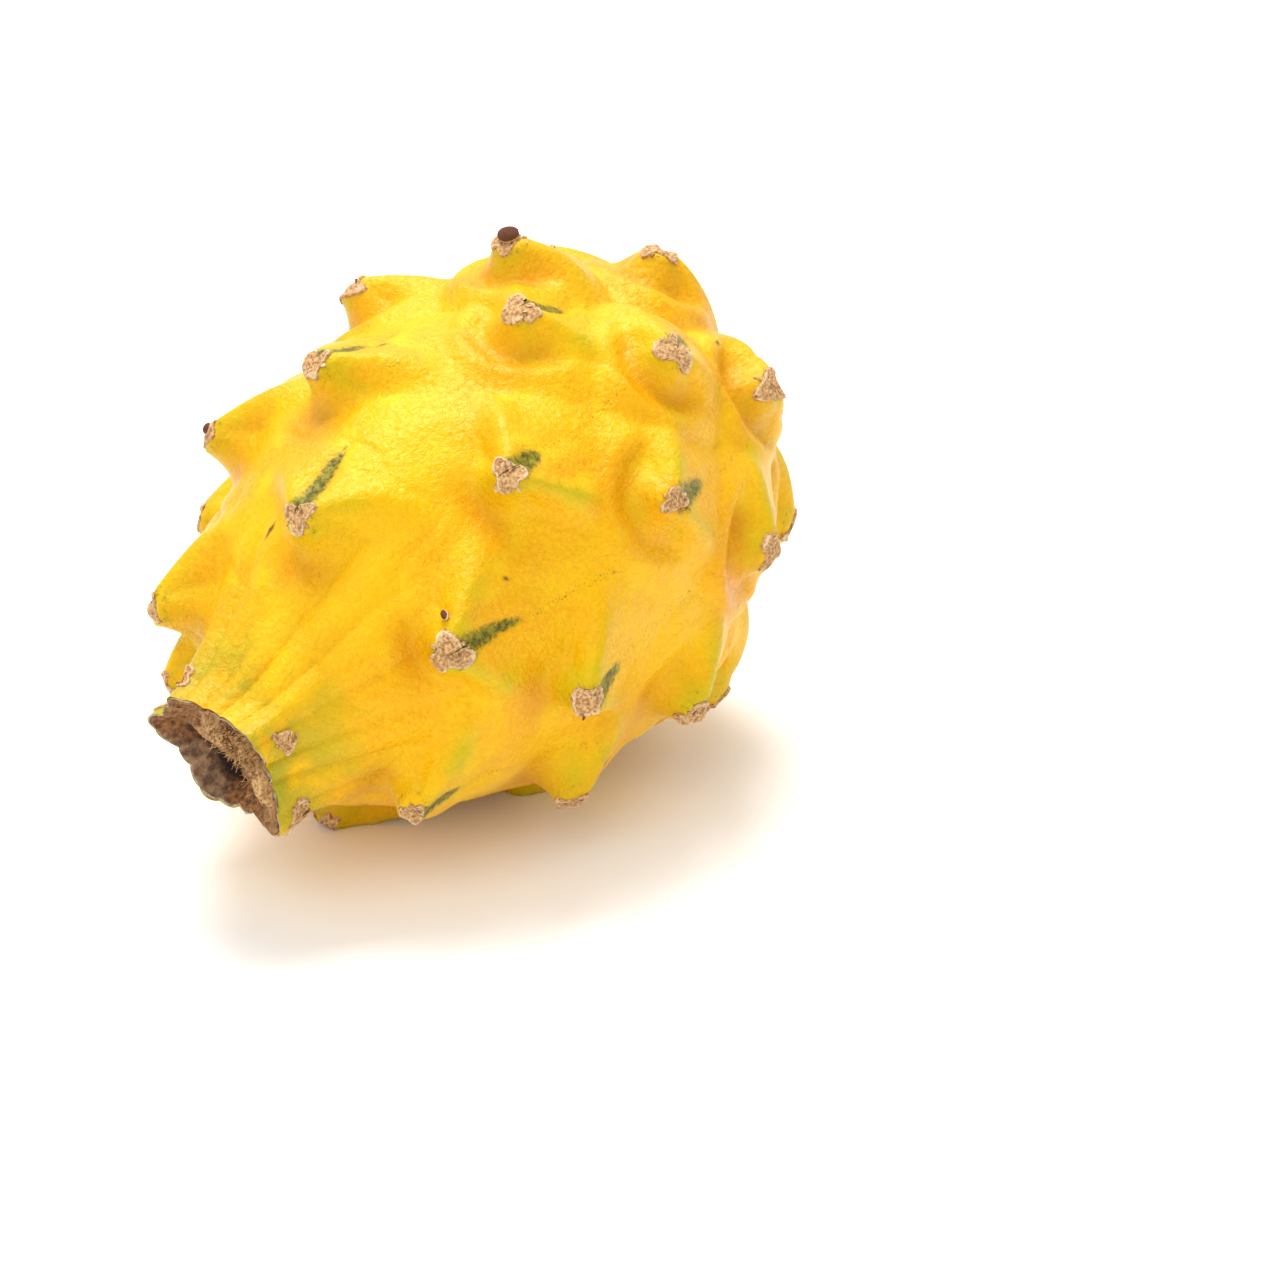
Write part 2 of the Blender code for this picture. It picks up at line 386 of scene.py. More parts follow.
fruit_skin = new_piece("fruit_skin", spun_blank())
blank = read_points(fruit_skin.data)
blank_radius = np.hypot(blank[:, 1], blank[:, 2])
blank_share = blank[:, 0] / LENGTH
blank_angle = np.arctan2(-blank[:, 1], blank[:, 2])
outer = blank_radius > body_radius(blank_share) - 0.01 * MM
rim_radius = float(body_radius(0))

skin_points, skin_masks = skin(np.where(outer, blank_share, 0), blank_angle)
inner = ~outer & (blank_share < 0.5)
floor_share = blank_radius[inner] / rim_radius
rim_middle = np.array(BODY_MIDDLE) - AXIS * LENGTH / 2 + NECK_BEND
rim_points = skin_points[inner] - rim_middle
depth = blank[inner, 0]
skin_points[inner] = rim_middle + rim_points * floor_share[:, None] + AXIS * depth[:, None]
end = ~outer & (blank_share > 0.5)
end_out = np.cos(blank_angle[end])[:, None] * UP + np.sin(blank_angle[end])[:, None] * SIDE
skin_points[end] = np.array(BODY_MIDDLE) + UP * STEM_BEND + AXIS * (blank[end, 0] - LENGTH / 2)[:, None] \
    + end_out * blank_radius[end][:, None]
skin_points[:, 2] = np.maximum(skin_points[:, 2], 0)
fruit_skin.data.vertices.foreach_set("co", skin_points.ravel())
for mask_name, values in skin_masks.items():
    write_mask(fruit_skin.data, mask_name, np.where(outer, values, 0))
write_mask(fruit_skin.data, "scar", np.where(inner, smooth_step(1.0, 0.93, blank_radius / rim_radius), 0))
fruit_skin.data.update()
print("skin:", len(fruit_skin.data.polygons), "faces")

# %% [markdown]
# ## The dried tips
#
# Each scale ends in a scab of dead tissue, with a papery edge and a few loose flakes. They are small
# discs and strips, so they are drawn flat first: x and y are distances along and across the skin from
# the scale's tip, and z is the height above it. The skin rule then lays every point on the fruit, so
# a scab follows its scale exactly. One vertex layer remembers which scale each point belongs to.

# %% Drawing the tips flat
SCAB_RADIUS = 2.0 * MM
SCAB_RINGS = 12
SCAB_TURNS = 40
FLAKE_THICKNESS = 0.09 * MM
# Larger scabs by scale number: (heading of a corner in radians, how pointed, size)
LARGE_SCABS = {2: (-1.45, 0.32, 1.25), 7: (0.6, 0.15, 1.1), 8: (2.6, 0.3, 1.05), 15: (1.2, 0.2, 1.15)}
# Stubs of the dead leaf: (scale number, distances along and across in mm, radius in mm)
KNOBS = ((22, 0.0, 0.0, 1.25), (2, 0.5, -4.2, 0.55), (6, 0.3, 0.4, 0.8))


def polar_disc(bm, rings, turns):
    """A flat disc of radius 1 and a bit, spun from a chain of vertices; returns its vertices."""
    before = len(bm.verts)
    chain = [bm.verts.new((1.05 * i / rings, 0, 0)) for i in range(rings + 1)]
    edges = [bm.edges.new(pair) for pair in zip(chain, chain[1:])]
    bmesh.ops.spin(bm, geom=chain + edges, cent=(0, 0, 0), axis=(0, 0, 1), angle=2 * math.pi,
                   steps=turns, use_merge=True)
    bm.verts.ensure_lookup_table()
    bmesh.ops.remove_doubles(bm, verts=bm.verts[before:], dist=1e-6)
    bm.verts.ensure_lookup_table()
    return bm.verts[before:]


def shape_scab(verts, luck, shape=None):
    """Turn a disc into an uneven scab: a three-sided outline, a raised papery edge and pits."""
    start, stretch = luck.uniform(0, 2 * math.pi), luck.uniform(0.85, 1.25)
    corner, size = luck.uniform(0.12, 0.34), luck.uniform(0.8, 1.25) * SCAB_RADIUS
    if shape:
        start, corner, size = shape[0], shape[1], shape[2] * SCAB_RADIUS
    places = np.array([vert.co for vert in verts])
    reach = np.hypot(places[:, 0], places[:, 1])
    round_it = np.arctan2(places[:, 1], places[:, 0])
    ragged = slow_noise(np.stack([np.cos(round_it), np.sin(round_it), 0 * reach], 1) + start, 0.35, 7)
    outline = size * (1 + corner * np.cos(3 * (round_it - start)) + 0.2 * ragged)
    flat = np.stack([np.cos(round_it) * stretch, np.sin(round_it) / stretch, 0 * reach], 1)
    flat *= (reach * outline)[:, None]
    pits = slow_noise(flat + start * MM, 0.55 * MM, 8) * 0.6 + slow_noise(flat + start * MM, 0.3 * MM, 9) * 0.4
    edge = bell(reach - 0.86, 0.09)
    height = (0.1 + 0.3 * edge + 0.2 * pits * smooth_step(1.0, 0.85, reach)) * MM
    height -= 0.6 * MM * smooth_step(0.93, 1.05, reach)
    for vert, place, lift in zip(verts, flat, height):
        vert.co = (place[0], place[1], lift)
    return size


def add_flake(bm, size, luck):
    """A thin curled flake, rooted on the scab's edge and standing off it."""
    before = len(bm.verts)
    heading = luck.uniform(0, 2 * math.pi)
    root = luck.uniform(0.3, 0.85) * size
    length, width = luck.uniform(0.5, 1.15) * MM, luck.uniform(0.4, 0.9) * MM
    tilt, curl = luck.uniform(0.0, 0.6), luck.uniform(-0.6, 0.5)
    swing = luck.uniform(-1.2, 1.2)
    bmesh.ops.create_grid(bm, x_segments=4, y_segments=2, size=0.5)
    bm.verts.ensure_lookup_table()
    faces = {face for vert in bm.verts[before:] for face in vert.link_faces}
    for vert in bm.verts[before:]:
        run, side = vert.co.x + 0.5, vert.co.y
        side *= (1 - 0.7 * run ** 2) * luck.uniform(0.8, 1.2)
        ahead = run * length
        vert.co = (ahead * math.cos(tilt), side * width, ahead * math.sin(tilt) + curl * run ** 2 * 0.6 * MM)
        vert.co.rotate(Matrix.Rotation(heading + swing, 3, "Z"))
        vert.co += Vector((math.cos(heading) * root, math.sin(heading) * root, 0.05 * MM))
    bmesh.ops.solidify(bm, geom=list(faces), thickness=FLAKE_THICKNESS)
    bm.verts.ensure_lookup_table()


bm = bmesh.new()
owner = bm.verts.layers.int.new("owner")
tip_luck = random.Random(12)
rim_scabs = [Scale(0.037, degrees, 0, luck) for degrees in (322, 66, 130, 288, 215)]
tip_places = scales + rim_scabs
for index in range(len(tip_places)):
    first = len(bm.verts)
    scab_size = shape_scab(polar_disc(bm, SCAB_RINGS, SCAB_TURNS), tip_luck, LARGE_SCABS.get(index))
    for _ in range(tip_luck.randint(4, 8)):
        add_flake(bm, scab_size, tip_luck)
    bm.verts.ensure_lookup_table()
    for vert in bm.verts[first:]:
        vert[owner] = index
for index, along, across, radius in KNOBS:
    first = len(bm.verts)
    bmesh.ops.create_icosphere(bm, subdivisions=3, radius=radius * MM)
    bm.verts.ensure_lookup_table()
    for vert in bm.verts[first:]:
        vert.co += Vector((along, across, 0.55 * radius)) * MM
        vert[owner] = index
bmesh.ops.recalc_face_normals(bm, faces=bm.faces)
scale_tips = new_piece("scale_tips", bm)
print("tips drawn flat:", len(scale_tips.data.polygons), "faces")

# %% Laying the tips on the skin
PROBE = 0.3 * MM


def lay_on_skin(scale, flat):
    """Points on the fruit for flat points (along, across, height) measured from a scale's tip."""
    cos_turn, sin_turn = math.cos(-scale.turn), math.sin(-scale.turn)
    along = flat[:, 0] * cos_turn - flat[:, 1] * sin_turn
    across = flat[:, 0] * sin_turn + flat[:, 1] * cos_turn

    def at(along, across):
        share = np.interp(arc_length(scale.share) + along, ARC_LENGTHS, ARC_SHARES)
        return skin(share, scale.angle + across / body_radius(share))[0]

    point = at(along, across)
    normal = np.cross(at(along, across + PROBE) - point, at(along + PROBE, across) - point)
    normal /= np.linalg.norm(normal, axis=1)[:, None]
    return point + normal * flat[:, 2:]


tip_points = read_points(scale_tips.data)
tip_owner = np.empty(len(tip_points), dtype=np.int32)
scale_tips.data.attributes["owner"].data.foreach_get("value", tip_owner)
# The relief is the scab's height: low places get painted shade, the flakes are set low for their own dark brown, and
# high edges turn pale.
write_mask(scale_tips.data, "relief", np.where(tip_points[:, 2] > 0.5 * MM, -0.1, tip_points[:, 2] / MM))
for index, scale in enumerate(tip_places):
    mine = tip_owner == index
    tip_points[mine] = lay_on_skin(scale, tip_points[mine])
tip_points[:, 2] = np.maximum(tip_points[:, 2], 0)
scale_tips.data.vertices.foreach_set("co", tip_points.ravel())
scale_tips.data.update()

# %% [markdown]
# ## The flower scar
#
# The flower dried up and fell off, and left a hollow lined with dead tissue: a grey-brown wall, a pad
# of pale fibres on its upper side and holes in the middle. The lining is one spun disc whose points
# are pushed down into the hollow, and painted shade darkens it the deeper it lies, almost to black in
# the holes and the gap under the rim. Short bent hairs stand on the pad, and a thin torn edge of skin
# runs round the rim.

# %% Scar lining, hairs and torn edge
LINING_RINGS = 60
LINING_TURNS = 200
LINING_DEPTH = 3.2 * MM
PAD_SIDE = math.radians(55)


def rim_point(angle, reach, depth):
    """A point inside the scar: reach is 0 at the middle and 1 at the rim, depth is below the rim."""
    rim = skin(np.zeros_like(angle), angle)[0] - rim_middle
    return rim_middle + rim * reach[:, None] + AXIS * depth[:, None]


def heap(angle, reach, across_at, across_width, along_at, along_width):
    """1 at a place in the scar, falling off round it; across runs from its lower to its upper side."""
    across = reach * np.cos(angle - PAD_SIDE)
    along = reach * np.sin(angle - PAD_SIDE)
    return np.exp(-((across - across_at) / across_width) ** 2 - ((along - along_at) / along_width) ** 2)


def pad_mask(angle, reach):
    """Where the pale fibres stand in the scar."""
    return np.maximum(heap(angle, reach, 0.02, 0.45, -0.05, 0.62), heap(angle, reach, 0.20, 0.32, 0.55, 0.32))


def lining_depth(angle, reach):
    """Depth of the dead tissue below the rim, with its pad, holes and rough fibres."""
    spot = np.stack([reach * np.cos(angle), reach * np.sin(angle), 0 * reach], 1) * 10 * MM
    pad = pad_mask(angle, reach)
    hole = np.maximum(heap(angle, reach, -0.60, 0.13, 0.10, 0.46), heap(angle, reach, -0.25, 0.22, 0.2, 0.17))
    gap = heap(angle, reach, 0.80, 0.11, 0.0, 0.55)
    rough = 0.6 * slow_noise(spot, 2.2 * MM, 21) + 0.5 * slow_noise(spot, 0.9 * MM, 22)
    rough += 0.25 * slow_noise(spot, 0.4 * MM, 23)
    depth = LINING_DEPTH * smooth_step(1.0, 0.72, reach) - 2.3 * MM * pad + 3.4 * MM * hole + 1.8 * MM * gap
    depth += rough * (0.4 + 0.6 * pad) * MM * smooth_step(1.02, 0.85, reach)
    return depth - 0.2 * MM * bell(reach - 0.97, 0.05) + 0.9 * MM * smooth_step(0.99, 1.05, reach)


bm = bmesh.new()
polar_disc(bm, LINING_RINGS, LINING_TURNS)
flower_scar = new_piece("flower_scar", bm)
lining = read_points(flower_scar.data)
lining_reach = np.hypot(lining[:, 0], lining[:, 1])
lining_angle = np.arctan2(lining[:, 1], lining[:, 0])
lining_low = lining_depth(lining_angle, lining_reach)
lining_points = rim_point(lining_angle, np.minimum(lining_reach, 1.0) * 0.97, lining_low)
flower_scar.data.vertices.foreach_set("co", lining_points.ravel())
# Painted shade: how deep each point lies, which the material turns to darkness in the holes and under the rim.
write_mask(flower_scar.data, "painted_depth_shade", lining_low / LINING_DEPTH)
write_mask(flower_scar.data, "pad", pad_mask(lining_angle, lining_reach))
write_mask(flower_scar.data, "wall", smooth_step(-0.68, -0.8, lining_reach * np.cos(lining_angle - PAD_SIDE)))
flower_scar.data.flip_normals()
flower_scar.data.update()

HAIRS = 260
hair_luck = np.random.default_rng(4)
hair_angle = np.radians(hair_luck.normal(55, 65, HAIRS))
hair_reach = np.clip(hair_luck.normal(0.36, 0.24, HAIRS), 0.05, 0.9)
hair_roots = rim_point(hair_angle, hair_reach * 0.97, lining_depth(hair_angle, hair_reach))
out_of_scar = Vector(-AXIS).to_track_quat("Z", "Y").to_matrix()
bm = bmesh.new()
for root in hair_roots:
    before = len(bm.verts)
    thick, length = hair_luck.uniform(0.07, 0.16) * MM, hair_luck.uniform(0.7, 2.2) * MM
    bmesh.ops.create_cone(bm, cap_ends=True, segments=5, radius1=thick, radius2=thick * 0.3, depth=length)
    bm.verts.ensure_lookup_table()
    hair = bm.verts[before:]
    bmesh.ops.translate(bm, verts=hair, vec=(0, 0, length * 0.4))
    heading, bend = hair_luck.uniform(0, 2 * math.pi), hair_luck.uniform(0.2, 1.25)
    turn = out_of_scar @ Matrix.Rotation(heading, 3, "Z") @ Matrix.Rotation(bend, 3, "X")
    bmesh.ops.rotate(bm, verts=hair, cent=(0, 0, 0), matrix=turn)
    bmesh.ops.translate(bm, verts=hair, vec=root)
scar_hairs = new_piece("scar_hairs", bm)

EDGE_TURNS = 360
bm = bmesh.new()
# Cross-section of the torn edge: (outwards from the rim, above the rim) in mm
EDGE_SECTION = ((0.1, -0.5), (0.12, 0.1), (0.02, 1.0), (-0.08, 0.1), (-0.1, -0.5))
chain = [bm.verts.new((1 + out * 0.1, 0, height)) for out, height in EDGE_SECTION]
edges = [bm.edges.new(pair) for pair in zip(chain, chain[1:] + chain[:1])]
bmesh.ops.spin(bm, geom=chain + edges, cent=(0, 0, 0), axis=(0, 0, 1), angle=2 * math.pi,
               steps=EDGE_TURNS, use_merge=True)
bmesh.ops.remove_doubles(bm, verts=bm.verts, dist=1e-6)
bmesh.ops.recalc_face_normals(bm, faces=bm.faces)
torn_edge = new_piece("torn_edge", bm)
edge_points = read_points(torn_edge.data)
edge_angle = np.arctan2(edge_points[:, 1], edge_points[:, 0])
edge_out = (np.hypot(edge_points[:, 0], edge_points[:, 1]) - 1) * 10 * MM
circle = np.stack([np.cos(edge_angle), np.sin(edge_angle), 0 * edge_angle], 1) * 10 * MM
ragged = 0.25 + 0.3 * slow_noise(circle, 2.2 * MM, 31) + 0.3 * slow_noise(circle, 0.9 * MM, 32)
edge_height = np.where(edge_points[:, 2] > 0.5, np.maximum(ragged, 0.05), edge_points[:, 2]) * MM
wave = 0.35 * MM * slow_noise(circle, 3 * MM, 33)
edge_reach = 0.965 + (edge_out + wave) / (10 * MM)
torn_edge.data.vertices.foreach_set("co", rim_point(edge_angle, edge_reach, -edge_height).ravel())
torn_edge.data.update()
print("scar pieces made")

# %% [markdown]
# ## The stem scar
#
# The other end was cut from the stem, and healed over as a small corky patch. It is a low dome made
# from the same disc, with an uneven outline.

# %% Stem scar
bm = bmesh.new()
polar_disc(bm, 18, 64)
stem_scar = new_piece("stem_scar", bm)
cork = read_points(stem_scar.data)
cork_reach = np.hypot(cork[:, 0], cork[:, 1])
cork_angle = np.arctan2(cork[:, 1], cork[:, 0])
cork_outwards = np.cos(cork_angle)[:, None] * UP + np.sin(cork_angle)[:, None] * SIDE
cork_edge = 1 + 0.3 * slow_noise(cork_outwards, 0.6, 41)
cork_flat = cork_outwards * (cork_reach * cork_edge * 3.2 * MM)[:, None]
cork_rise = 0.7 * (1 - cork_reach ** 2) + 0.3 * slow_noise(cork_flat, 0.8 * MM, 42)
cork_rise -= 1.2 * smooth_step(0.88, 1.05, cork_reach)
stem_end = np.array(BODY_MIDDLE) + UP * STEM_BEND + AXIS * (LENGTH / 2 - 0.2 * MM)
cork_points = stem_end + cork_flat + AXIS * cork_rise[:, None] * MM
stem_scar.data.vertices.foreach_set("co", cork_points.ravel())
stem_scar.data.update()
print("stem scar made")

# %% [markdown]
# ## Materials
#
# Nothing here is one flat colour. The skin's masks say where it is green, pale, orange or specked,
# and noise breaks each of them up. Two effects are used by more than one material, so they are node
# groups: the grain that gives every surface its small bumps, and the mottle that varies a colour.

# %% Node helpers
def shade(red, green, blue):
    """A colour given as it looks on a screen, from 0 to 255, as the shader wants it."""
    return (*(((v / 255 + 0.055) / 1.055) ** 2.4 if v > 10 else v / 255 / 12.92 for v in (red, green, blue)), 1)


def add_node(tree, kind, inputs=None, **settings):
    """Add a shader node, set its settings, and set or link its inputs."""
    made = tree.nodes.new("ShaderNode" + kind)
    for name, value in settings.items():
        setattr(made, name, value)
    for name, value in (inputs or {}).items():
        if isinstance(value, bpy.types.NodeSocket):
            tree.links.new(value, made.inputs[name])
        else:
            made.inputs[name].default_value = value
    return made


def mix_colour(tree, factor, first, second, blend="MIX"):
    made = add_node(tree, "Mix", data_type="RGBA", blend_type=blend)
    for socket, value in zip((made.inputs[0], made.inputs[6], made.inputs[7]), (factor, first, second)):
        if isinstance(value, bpy.types.NodeSocket):
            tree.links.new(value, socket)
        else:
            socket.default_value = value
    return made.outputs[2]


def calculate(tree, operation, *values, clamp=False):
    made = add_node(tree, "Math", operation=operation, use_clamp=clamp)
    for socket, value in zip(made.inputs, values):
        if isinstance(value, bpy.types.NodeSocket):
            tree.links.new(value, socket)
        else:
            socket.default_value = value
    return made.outputs[0]


def ramp(tree, value, low, high):
    """0 below low and 1 above high, smoothly, from any value socket."""
    made = add_node(tree, "MapRange", {"Value": value, "From Min": low, "From Max": high},
                    interpolation_type="SMOOTHSTEP")
    return made.outputs[0]


def noise_at(tree, place, per_mm, detail=2.0, rough=0.5, warp=0.0):
    made = add_node(tree, "TexNoise", {"Vector": place, "Scale": per_mm * 1000, "Detail": detail,
                                       "Roughness": rough, "Distortion": warp})
    return made.outputs["Fac"]


def masked(tree, name):
    return add_node(tree, "Attribute", attribute_name=name, attribute_type="GEOMETRY").outputs["Fac"]


def make_group(name, inputs, outputs):
    """An empty shader node group with named inputs and outputs."""
    group = bpy.data.node_groups.new(name, "ShaderNodeTree")
    for label, kind, value in inputs:
        socket = group.interface.new_socket(label, in_out="INPUT", socket_type=kind)
        socket.default_value = value
    for label, kind in outputs:
        group.interface.new_socket(label, in_out="OUTPUT", socket_type=kind)
    return group, group.nodes.new("NodeGroupInput"), group.nodes.new("NodeGroupOutput")


def use_group(tree, group, inputs):
    made = tree.nodes.new("ShaderNodeGroup")
    made.node_tree = group
    for name, value in inputs.items():
        if isinstance(value, bpy.types.NodeSocket):
            tree.links.new(value, made.inputs[name])
        else:
            made.inputs[name].default_value = value
    return made.outputs


def make_material(name):
    material = bpy.data.materials.new(name)
    material.use_nodes = True
    return material, material.node_tree, material.node_tree.nodes["Principled BSDF"]


def add_bump(tree, shader, height, strength, distance):
    bumped = add_node(tree, "Bump", {"Height": height, "Strength": strength, "Distance": distance})
    tree.links.new(bumped.outputs["Normal"], shader.inputs["Normal"])


# %% Shared node groups
grain_group, group_in, group_out = make_group(
    "grain", [("Per mm", "NodeSocketFloat", 1.0), ("Roughness", "NodeSocketFloat", 0.5)],
    [("Height", "NodeSocketFloat")])
place = add_node(grain_group, "TexCoord").outputs["Object"]
per_metre = calculate(grain_group, "MULTIPLY", group_in.outputs["Per mm"], 1000)
fine = add_node(grain_group, "TexNoise", {"Vector": place, "Scale": per_metre, "Detail": 3.0,
                                          "Roughness": group_in.outputs["Roughness"], "Distortion": 0.6})
cells = add_node(grain_group, "TexVoronoi", {"Vector": place, "Scale": calculate(
    grain_group, "MULTIPLY", per_metre, 0.8)}, feature="SMOOTH_F1")
both = calculate(grain_group, "MULTIPLY_ADD", cells.outputs["Distance"], -0.5, fine.outputs["Fac"])
grain_group.links.new(both, group_out.inputs["Height"])

mottle_group, group_in, group_out = make_group(
    "mottle", [("Light", "NodeSocketColor", (1, 1, 1, 1)), ("Dark", "NodeSocketColor", (0, 0, 0, 1)),
               ("Per mm", "NodeSocketFloat", 1.0), ("Balance", "NodeSocketFloat", 0.5)],
    [("Color", "NodeSocketColor")])
place = add_node(mottle_group, "TexCoord").outputs["Object"]
per_metre = calculate(mottle_group, "MULTIPLY", group_in.outputs["Per mm"], 1000)
blotch = add_node(mottle_group, "TexNoise", {"Vector": place, "Scale": per_metre, "Detail": 4.0})
shifted = calculate(mottle_group, "SUBTRACT", blotch.outputs["Fac"], group_in.outputs["Balance"])
sharper = calculate(mottle_group, "MULTIPLY_ADD", shifted, 4.0, 0.5, clamp=True)
mottle_group.links.new(mix_colour(mottle_group, sharper, group_in.outputs["Dark"], group_in.outputs["Light"]),
                       group_out.inputs["Color"])

# %% [markdown]
# ## The skin's finish
#
# Ripe skin is waxy and a little see-through, with a grain like very fine orange peel. It is lemon on
# the raised arms and green where the spines' tufts shaded it, and painted shade tints the hollows
# under the scales orange. The grain is a small bump, and it breaks up the highlights.

# %% Skin material
skin_material, tree, shader = make_material("yellow_skin")
place = add_node(tree, "TexCoord").outputs["Object"]
grit = noise_at(tree, place, 1.5, detail=3.0, rough=0.7)
cloud = noise_at(tree, place, 0.16, detail=2.0)
wide_cloud = noise_at(tree, place, 0.045)

colour = mix_colour(tree, ramp(tree, wide_cloud, 0.35, 0.65), shade(242, 164, 0), shade(250, 188, 0))
colour = mix_colour(tree, ramp(tree, cloud, 0.5, 0.8), colour, shade(253, 204, 6))
colour = mix_colour(tree, calculate(tree, "MULTIPLY", ramp(tree, grit, 0.3, 0.7), 0.5), colour,
                    shade(255, 210, 16))
# Painted shade: the hollows under the scales and the cups near the stem turn orange.
painted_hollow_shade = calculate(tree, "MULTIPLY", masked(tree, "painted_hollow_shade"), 0.5)
colour = mix_colour(tree, painted_hollow_shade, colour, shade(218, 126, 0))
pale = calculate(tree, "MULTIPLY", masked(tree, "pale"), ramp(tree, cloud, 0.2, 0.75))
colour = mix_colour(tree, pale, colour, shade(198, 184, 10))
neck_green = calculate(tree, "MULTIPLY", masked(tree, "neck"), ramp(tree, cloud, 0.30, 0.62))
colour = mix_colour(tree, calculate(tree, "MULTIPLY", neck_green, 0.85), colour, shade(166, 164, 34))
green = calculate(tree, "MULTIPLY_ADD", grit, 1.1, calculate(tree, "SUBTRACT", masked(tree, "green"), 0.95))
green = ramp(tree, green, 0.0, 0.5)
colour = mix_colour(tree, green, colour, use_group(tree, mottle_group, {
    "Light": shade(146, 138, 20), "Dark": shade(70, 70, 24), "Per mm": 1.3, "Balance": 0.5})["Color"])
speck = calculate(tree, "MULTIPLY", masked(tree, "furrow"), ramp(tree, noise_at(tree, place, 2.2), 0.56, 0.66))
colour = mix_colour(tree, calculate(tree, "MULTIPLY", speck, 0.7), colour, shade(140, 110, 20))
colour = mix_colour(tree, masked(tree, "scar"), colour, use_group(tree, mottle_group, {
    "Light": shade(132, 112, 84), "Dark": shade(84, 62, 44), "Per mm": 0.7, "Balance": 0.5})["Color"])
colour = mix_colour(tree, masked(tree, "mark"), colour, shade(92, 60, 20))
colour = mix_colour(tree, 1.0, colour, (0.87, 0.87, 0.87, 1), "MULTIPLY")
tree.links.new(colour, shader.inputs["Base Color"])
tree.links.new(calculate(tree, "MULTIPLY_ADD", cloud, 0.2, 0.28), shader.inputs["Roughness"])
shader.inputs["Specular IOR Level"].default_value = 0.45
shader.inputs["Specular Tint"].default_value = (1, 0.80, 0.34, 1)
shader.inputs["Subsurface Weight"].default_value = 0.1
shader.inputs["Subsurface Radius"].default_value = (1.0, 0.45, 0.08)
shader.inputs["Subsurface Scale"].default_value = 0.0025
height = use_group(tree, grain_group, {"Per mm": 1.1, "Roughness": 0.6})["Height"]
add_bump(tree, shader, height, 0.8, 0.0004)
fruit_skin.data.materials.append(skin_material)

# %% [markdown]
# ## The dry finishes
#
# Scabs, hairs, lining and cork are all dead plant tissue: matte, blotched and rough. One function
# makes them from the same two node groups, and each piece then adds what it needs. Painted shade
# darkens the scabs in their pits and creases, where they lie low, and their flakes take the same dark
# brown as their own colour; the scabs are paler along their raised edges.

# %% Dry materials
def dry_material(name, light, dark, per_mm):
    """Dead fibrous tissue: blotched, matte and rough."""
    material, tree, shader = make_material(name)
    blotched = use_group(tree, mottle_group, {"Light": light, "Dark": dark, "Per mm": per_mm, "Balance": 0.5})
    shader.inputs["Roughness"].default_value = 0.85
    add_bump(tree, shader, use_group(tree, grain_group, {"Per mm": per_mm * 2, "Roughness": 0.7})["Height"],
             0.7, 0.0003)
    return material, tree, shader, blotched["Color"]


tip_material, tree, shader, colour = dry_material("dried_tip", shade(228, 186, 128), shade(168, 112, 62), 2.4)
relief = masked(tree, "relief")
# Painted shade where the scab lies low, in its pits and where it sinks into the skin; the flakes share this dark brown
# as their own colour.
colour = mix_colour(tree, ramp(tree, relief, 0.10, -0.12), colour, shade(92, 46, 20))
colour = mix_colour(tree, ramp(tree, relief, 0.22, 0.5), colour, shade(246, 220, 178))
tree.links.new(colour, shader.inputs["Base Color"])
scale_tips.data.materials.append(tip_material)

scar_material, tree, shader, colour = dry_material("flower_scar", shade(160, 106, 56), shade(84, 46, 24), 1.4)
colour = mix_colour(tree, masked(tree, "wall"), colour, use_group(tree, mottle_group, {
    "Light": shade(158, 126, 90), "Dark": shade(84, 54, 38), "Per mm": 0.7, "Balance": 0.5})["Color"])
colour = mix_colour(tree, calculate(tree, "MULTIPLY", masked(tree, "pad"), 0.9), colour, use_group(tree, mottle_group, {
    "Light": shade(226, 186, 124), "Dark": shade(150, 98, 48), "Per mm": 1.8, "Balance": 0.46})["Color"])
# Painted shade: the deeper the lining lies, the darker, almost to black in the holes.
colour = mix_colour(tree, ramp(tree, masked(tree, "painted_depth_shade"), 0.75, 1.35), colour, shade(44, 18, 8))
tree.links.new(colour, shader.inputs["Base Color"])
flower_scar.data.materials.append(scar_material)

hair_material, tree, shader, colour = dry_material("scar_hair", shade(206, 166, 108), shade(128, 84, 46), 0.4)
tree.links.new(colour, shader.inputs["Base Color"])
scar_hairs.data.materials.append(hair_material)

edge_material, tree, shader, colour = dry_material("torn_edge", shade(196, 180, 150), shade(130, 104, 70), 0.8)
tree.links.new(colour, shader.inputs["Base Color"])
torn_edge.data.materials.append(edge_material)

cork_material, tree, shader, colour = dry_material("stem_cork", shade(200, 170, 96), shade(138, 106, 52), 1.6)
tree.links.new(colour, shader.inputs["Base Color"])
stem_scar.data.materials.append(cork_material)

# %% [markdown]
# ## Camera, light and floor
#
# The camera looks down at the flower end from the side. A large soft lamp stands above and behind the
# fruit, so the scales are lit from above and throw short shadows. A weaker one fills the near side. The
# floor is a plain white card.

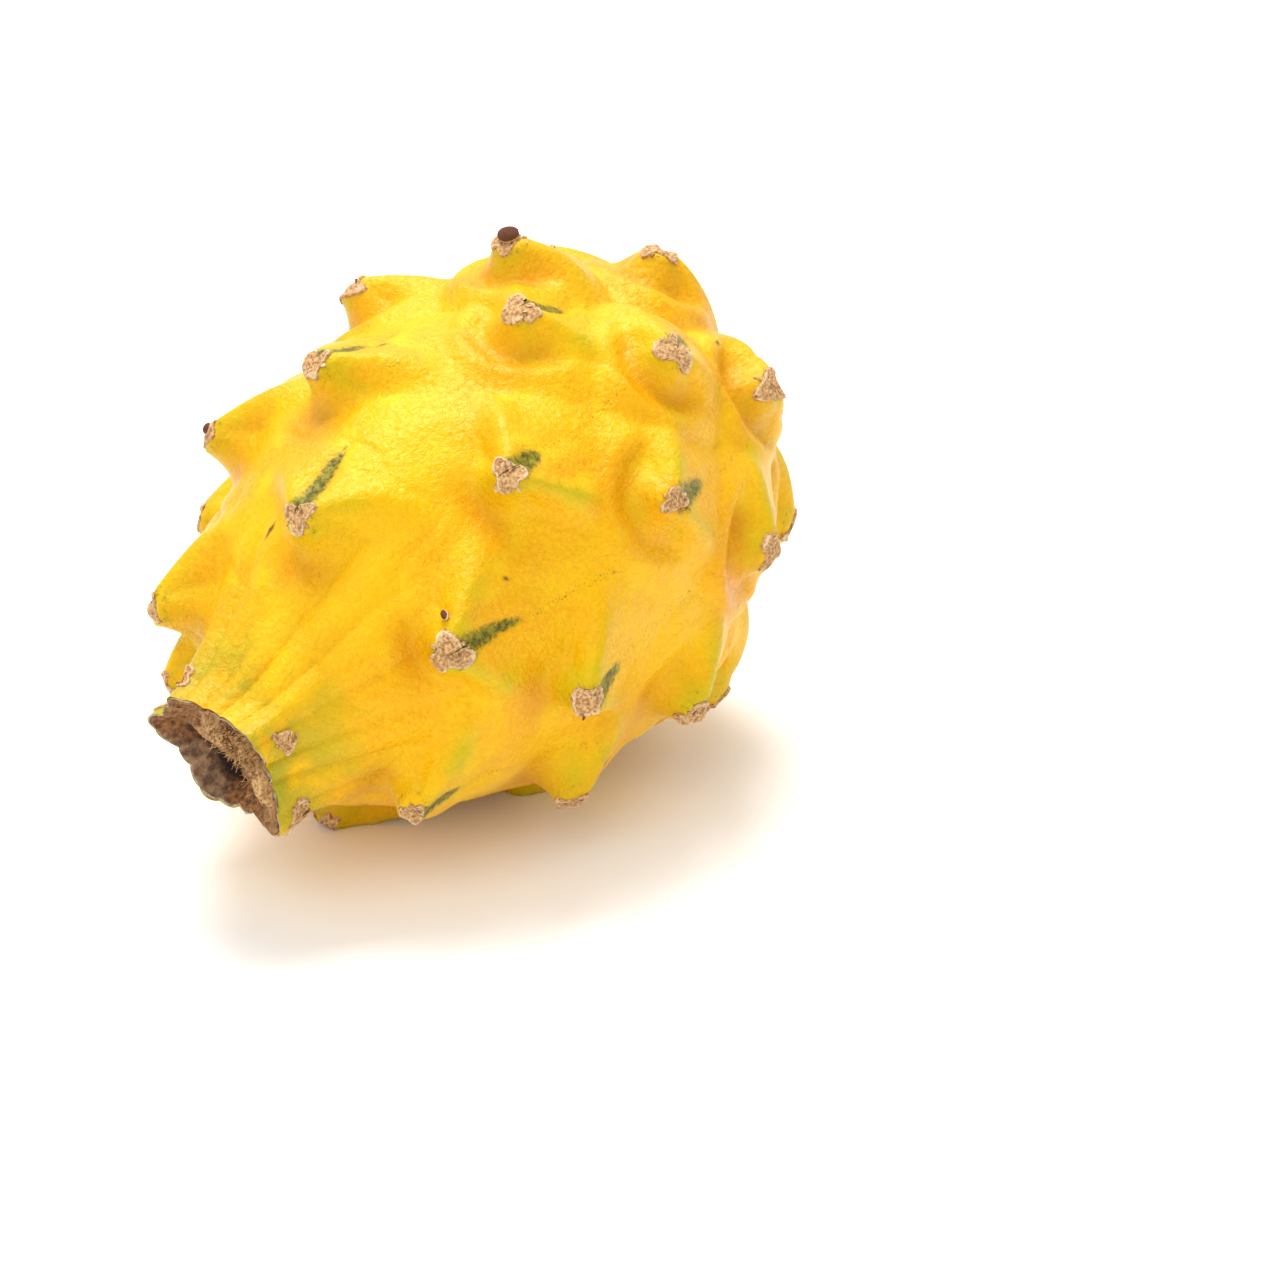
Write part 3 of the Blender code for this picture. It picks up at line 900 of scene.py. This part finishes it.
# %% Camera, light and floor
fruit_middle = BODY_MIDDLE + Vector((3.4, 0, 0.6)) * MM
azimuth, elevation = math.radians(-51), math.radians(26)
back = Vector((math.sin(azimuth) * math.cos(elevation), -math.cos(azimuth) * math.cos(elevation),
               math.sin(elevation)))
right = Vector((math.cos(azimuth), math.sin(azimuth), 0))
up = back.cross(right)
camera = bpy.data.objects.new("camera", bpy.data.cameras.new("camera"))
camera.data.lens = 100
camera.data.sensor_width = 36
aim = fruit_middle + right * 22.5 * MM - up * 12.9 * MM
camera.location = aim + back * 520 * MM
camera.rotation_euler = Matrix((right, up, back)).transposed().to_euler()
bpy.context.scene.collection.objects.link(camera)
bpy.context.scene.camera = camera

bpy.context.scene.view_settings.view_transform = "Standard"
world = bpy.data.worlds.new("studio")
world.use_nodes = True
world.node_tree.nodes["Background"].inputs["Color"].default_value = (1, 1, 1, 1)
world.node_tree.nodes["Background"].inputs["Strength"].default_value = 0.76
bpy.context.scene.world = world


def softbox(name, place, size, power):
    light = bpy.data.lights.new(name, "AREA")
    light.shape = "SQUARE"
    light.size = size
    light.energy = power
    lamp = bpy.data.objects.new(name, light)
    lamp.location = place
    lamp.rotation_euler = (Vector(place) - fruit_middle).to_track_quat("Z", "Y").to_euler()
    bpy.context.scene.collection.objects.link(lamp)


softbox("key", (0.22, 0.28, 0.95), 0.55, 10.5)
softbox("fill", (-0.7, -0.2, 0.7), 0.7, 2.8)

bm = bmesh.new()
bmesh.ops.create_grid(bm, x_segments=1, y_segments=1, size=3)
floor = new_piece("floor", bm)
floor_material, tree, shader = make_material("floor_card")
shader.inputs["Base Color"].default_value = (1, 1, 1, 1)
shader.inputs["Roughness"].default_value = 0.9
floor.data.materials.append(floor_material)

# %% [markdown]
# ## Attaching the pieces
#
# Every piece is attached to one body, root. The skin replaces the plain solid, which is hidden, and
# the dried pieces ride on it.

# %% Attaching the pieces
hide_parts("dragon_fruit")
for piece, slot in ((fruit_skin, "yellow_skin"), (scale_tips, "dried_tip"), (flower_scar, "flower_scar"),
                    (scar_hairs, "flower_scar"), (torn_edge, "flower_scar"), (stem_scar, "dried_tip")):
    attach(piece, "root")
